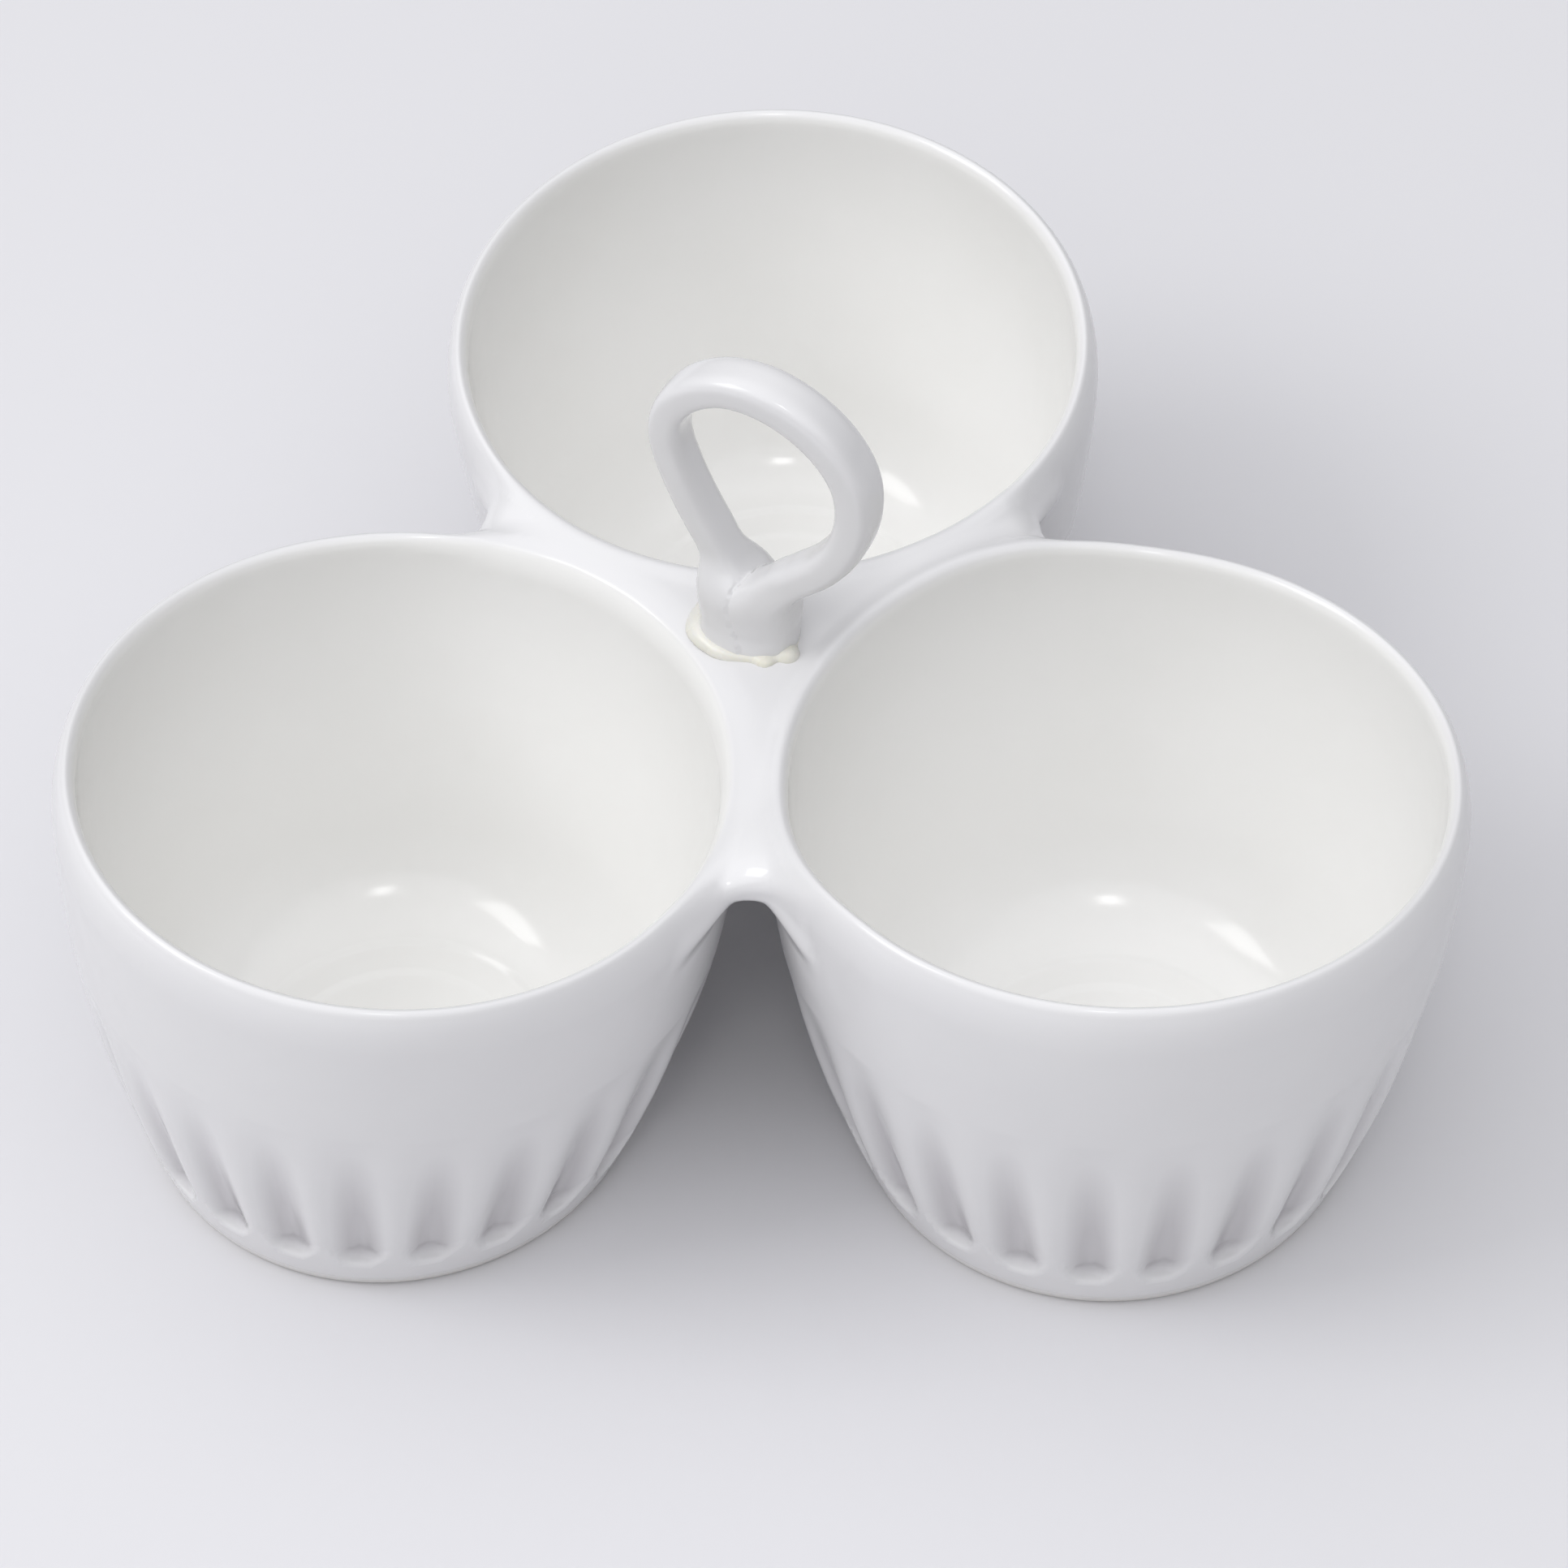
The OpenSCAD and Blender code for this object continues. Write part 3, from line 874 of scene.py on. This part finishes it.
def glaze_material():
    """White glaze with painted light and shade: lighter and warmer in the cups, darker and cooler outside,
    darker still in the flute hollows, with a few specks and a bare foot ring.
    """
    material, tree, shader = new_material("white_glaze")
    coords = node(tree, "ShaderNodeTexCoord").outputs["Object"]
    patches = noise(tree, coords, 22.0)
    # Painted light and shade: one glaze in two tones, darker and cooler outside the cups as if in shade,
    # lighter and warmer inside as if lit.
    shaded_outside_glaze = ramp(tree, patches, [(0.35, (0.785, 0.78, 0.787)), (0.65, (0.805, 0.80, 0.805))])
    lit_inside_glaze = ramp(tree, patches, [(0.35, (0.89, 0.885, 0.865)), (0.65, (0.91, 0.905, 0.89))])
    inside = node(tree, "ShaderNodeAttribute", attribute_name="inside").outputs["Fac"]
    fluted = node(tree, "ShaderNodeAttribute", attribute_name="fluted").outputs["Fac"]
    # Painted shade: the glaze is darkened towards grey deep in the flute hollows, where shade falls.
    flute_shade_share = ramp(tree, fluted, [(0.15, (0, 0, 0)), (0.75, (0.85, 0.85, 0.85))])
    tint = mix(tree, inside, mix(tree, flute_shade_share, shaded_outside_glaze, (0.57, 0.555, 0.57)), lit_inside_glaze)
    cells = node(tree, "ShaderNodeTexVoronoi", Scale=95.0, Randomness=1.0)
    tree.links.new(coords, cells.inputs["Vector"])
    speck = ramp(tree, cells.outputs["Distance"], [(0.02, (1, 1, 1)), (0.035, (0, 0, 0))])
    rare = ramp(tree, noise(tree, coords, 60.0, 1.0), [(0.71, (0, 0, 0)), (0.74, (1, 1, 1))])
    few = node(tree, "ShaderNodeMath", operation="MULTIPLY")
    tree.links.new(speck, few.inputs[0])
    tree.links.new(rare, few.inputs[1])
    glazed = mix(tree, few.outputs[0], tint, (0.42, 0.38, 0.33))
    split = node(tree, "ShaderNodeSeparateXYZ")
    tree.links.new(coords, split.inputs[0])
    bare = ramp(tree, split.outputs["Z"], [(0.0, (1, 1, 1)), (0.0006, (0, 0, 0))])
    grain = ramp(tree, noise(tree, coords, 900.0), [(0.3, (0.62, 0.59, 0.54)), (0.7, (0.72, 0.70, 0.66))])
    tree.links.new(mix(tree, bare, glazed, grain), shader.inputs["Base Color"])
    gloss = ramp(tree, noise(tree, coords, 35.0), [(0.3, (0.10,) * 3), (0.7, (0.16,) * 3)])
    tree.links.new(mix(tree, bare, gloss, (0.75, 0.75, 0.75)), shader.inputs["Roughness"])
    shader.inputs["IOR"].default_value = 1.5
    ripple = bump(tree, noise(tree, coords, 45.0, 2.0), 0.25, 0.0006)
    peel = bump(tree, noise(tree, coords, 350.0, 2.0), 0.12, 0.00008, ripple)
    tree.links.new(peel, shader.inputs["Normal"])
    return material


def bead_material():
    """Yellowed clear adhesive."""
    material, tree, shader = new_material("yellowed_adhesive")
    coords = node(tree, "ShaderNodeTexCoord").outputs["Object"]
    tint = ramp(tree, noise(tree, coords, 140.0), [(0.3, (0.80, 0.785, 0.70)), (0.7, (0.84, 0.83, 0.78))])
    tree.links.new(tint, shader.inputs["Base Color"])
    gloss = ramp(tree, noise(tree, coords, 260.0), [(0.3, (0.18,) * 3), (0.7, (0.34,) * 3)])
    tree.links.new(gloss, shader.inputs["Roughness"])
    shader.inputs["Subsurface Weight"].default_value = 0.3
    shader.inputs["Subsurface Radius"].default_value = (0.003, 0.0025, 0.0015)
    tree.links.new(bump(tree, noise(tree, coords, 420.0), 0.3, 0.0003), shader.inputs["Normal"])
    return material


# ---- Pieces ----
pieces = {name: build_cup(name, cup) for name, cup in CUPS.items()}
pieces["centre_web"] = build_web()
handle_low = (-26, -20, WEB_TOP - 2)
handle_high = (30, 18, loop_high[2] + 3)
pieces["handle_loop"] = build_from_field("handle_loop", handle_field, handle_low, handle_high, 0.6, 4)
pieces["handle_bead"] = build_from_field(
    "handle_bead", bead_field, (-14, -14, WEB_TOP - 2), (14, 14, WEB_TOP + 5), 0.45, 3)

glaze = glaze_material()
adhesive = bead_material()
for name, piece in pieces.items():
    is_bead = name == "handle_bead"
    piece.name = name + "_skin"
    piece.data.materials.append(adhesive if is_bead else glaze)
    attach(piece, "root")
    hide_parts(name)

# ---- Floor, light and camera ----
FLOOR_SIZE = 6.0


def add_floor():
    mesh = bpy.data.meshes.new("floor")
    half = FLOOR_SIZE / 2
    corners = [(-half, -half, 0), (half, -half, 0), (half, half, 0), (-half, half, 0)]
    mesh.from_pydata(corners, [], [(0, 1, 2, 3)])
    floor = bpy.data.objects.new("floor", mesh)
    bpy.context.scene.collection.objects.link(floor)
    material, tree, shader = new_material("pale_floor")
    shader.inputs["Base Color"].default_value = (0.74, 0.735, 0.755, 1)
    shader.inputs["Roughness"].default_value = 0.9
    shader.inputs["Specular IOR Level"].default_value = 0.1
    mesh.materials.append(material)


def add_softbox(name, place, target, size, power):
    light = bpy.data.lights.new(name, "AREA")
    light.shape = "RECTANGLE"
    light.size, light.size_y = size
    light.energy = power
    lamp = bpy.data.objects.new(name, light)
    bpy.context.scene.collection.objects.link(lamp)
    lamp.location = place
    lamp.rotation_euler = (Vector(target) - Vector(place)).to_track_quat("-Z", "Y").to_euler()


def add_sky(towards, peak, base):
    """An overhead glow like a large light tent, fainter at the horizon."""
    world = bpy.data.worlds.new("tent")
    world.use_nodes = True
    tree = world.node_tree
    background = tree.nodes["Background"]
    background.inputs["Color"].default_value = (0.97, 0.975, 1.0, 1)
    facing = node(tree, "ShaderNodeVectorMath", operation="DOT_PRODUCT")
    facing.inputs[1].default_value = Vector(towards).normalized()
    tree.links.new(node(tree, "ShaderNodeTexCoord").outputs["Generated"], facing.inputs[0])
    glow = node(tree, "ShaderNodeMapRange", interpolation_type="SMOOTHSTEP")
    tree.links.new(facing.outputs["Value"], glow.inputs["Value"])
    for key, value in (("From Min", 0.35), ("From Max", 0.85), ("To Min", base), ("To Max", peak)):
        glow.inputs[key].default_value = value
    tree.links.new(glow.outputs[0], background.inputs["Strength"])
    bpy.context.scene.world = world


def add_camera():
    """The viewing angle, with the aim point a little in front of and above the middle of the cups."""
    azimuth, elevation, roll = math.radians(5.0), math.radians(48.8), math.radians(-3.14)
    distance = 881.6
    aim_right, aim_up = 2.585, 25.42
    back = Vector((math.sin(azimuth) * math.cos(elevation), -math.cos(azimuth) * math.cos(elevation),
                   math.sin(elevation)))
    right = (-back).cross(Vector((0, 0, 1))).normalized()
    up = right.cross(-back)
    right, up = (math.cos(roll) * right + math.sin(roll) * up, math.cos(roll) * up - math.sin(roll) * right)
    place = Vector(MIDDLE) + right * aim_right + up * aim_up + back * distance
    data = bpy.data.cameras.new("camera")
    data.sensor_width = 36
    data.lens = 118.7
    data.clip_end = 20
    camera = bpy.data.objects.new("camera", data)
    bpy.context.scene.collection.objects.link(camera)
    turn = Matrix((right, up, back)).transposed()
    camera.matrix_world = Matrix.Translation(place * MM) @ turn.to_4x4()
    bpy.context.scene.camera = camera


add_floor()
add_softbox("key", (-1.0, -0.25, 1.15), (0, 0, 0), (0.65, 0.65), 4.6)
add_softbox("window", (0.05, -1.0, 1.7), (0, 0, 0), (0.22, 0.3), 1.6)
add_sky((-0.15, -0.2, 1.0), 1.36, 0.18)
bpy.context.scene.view_settings.view_transform = "Standard"
add_camera()
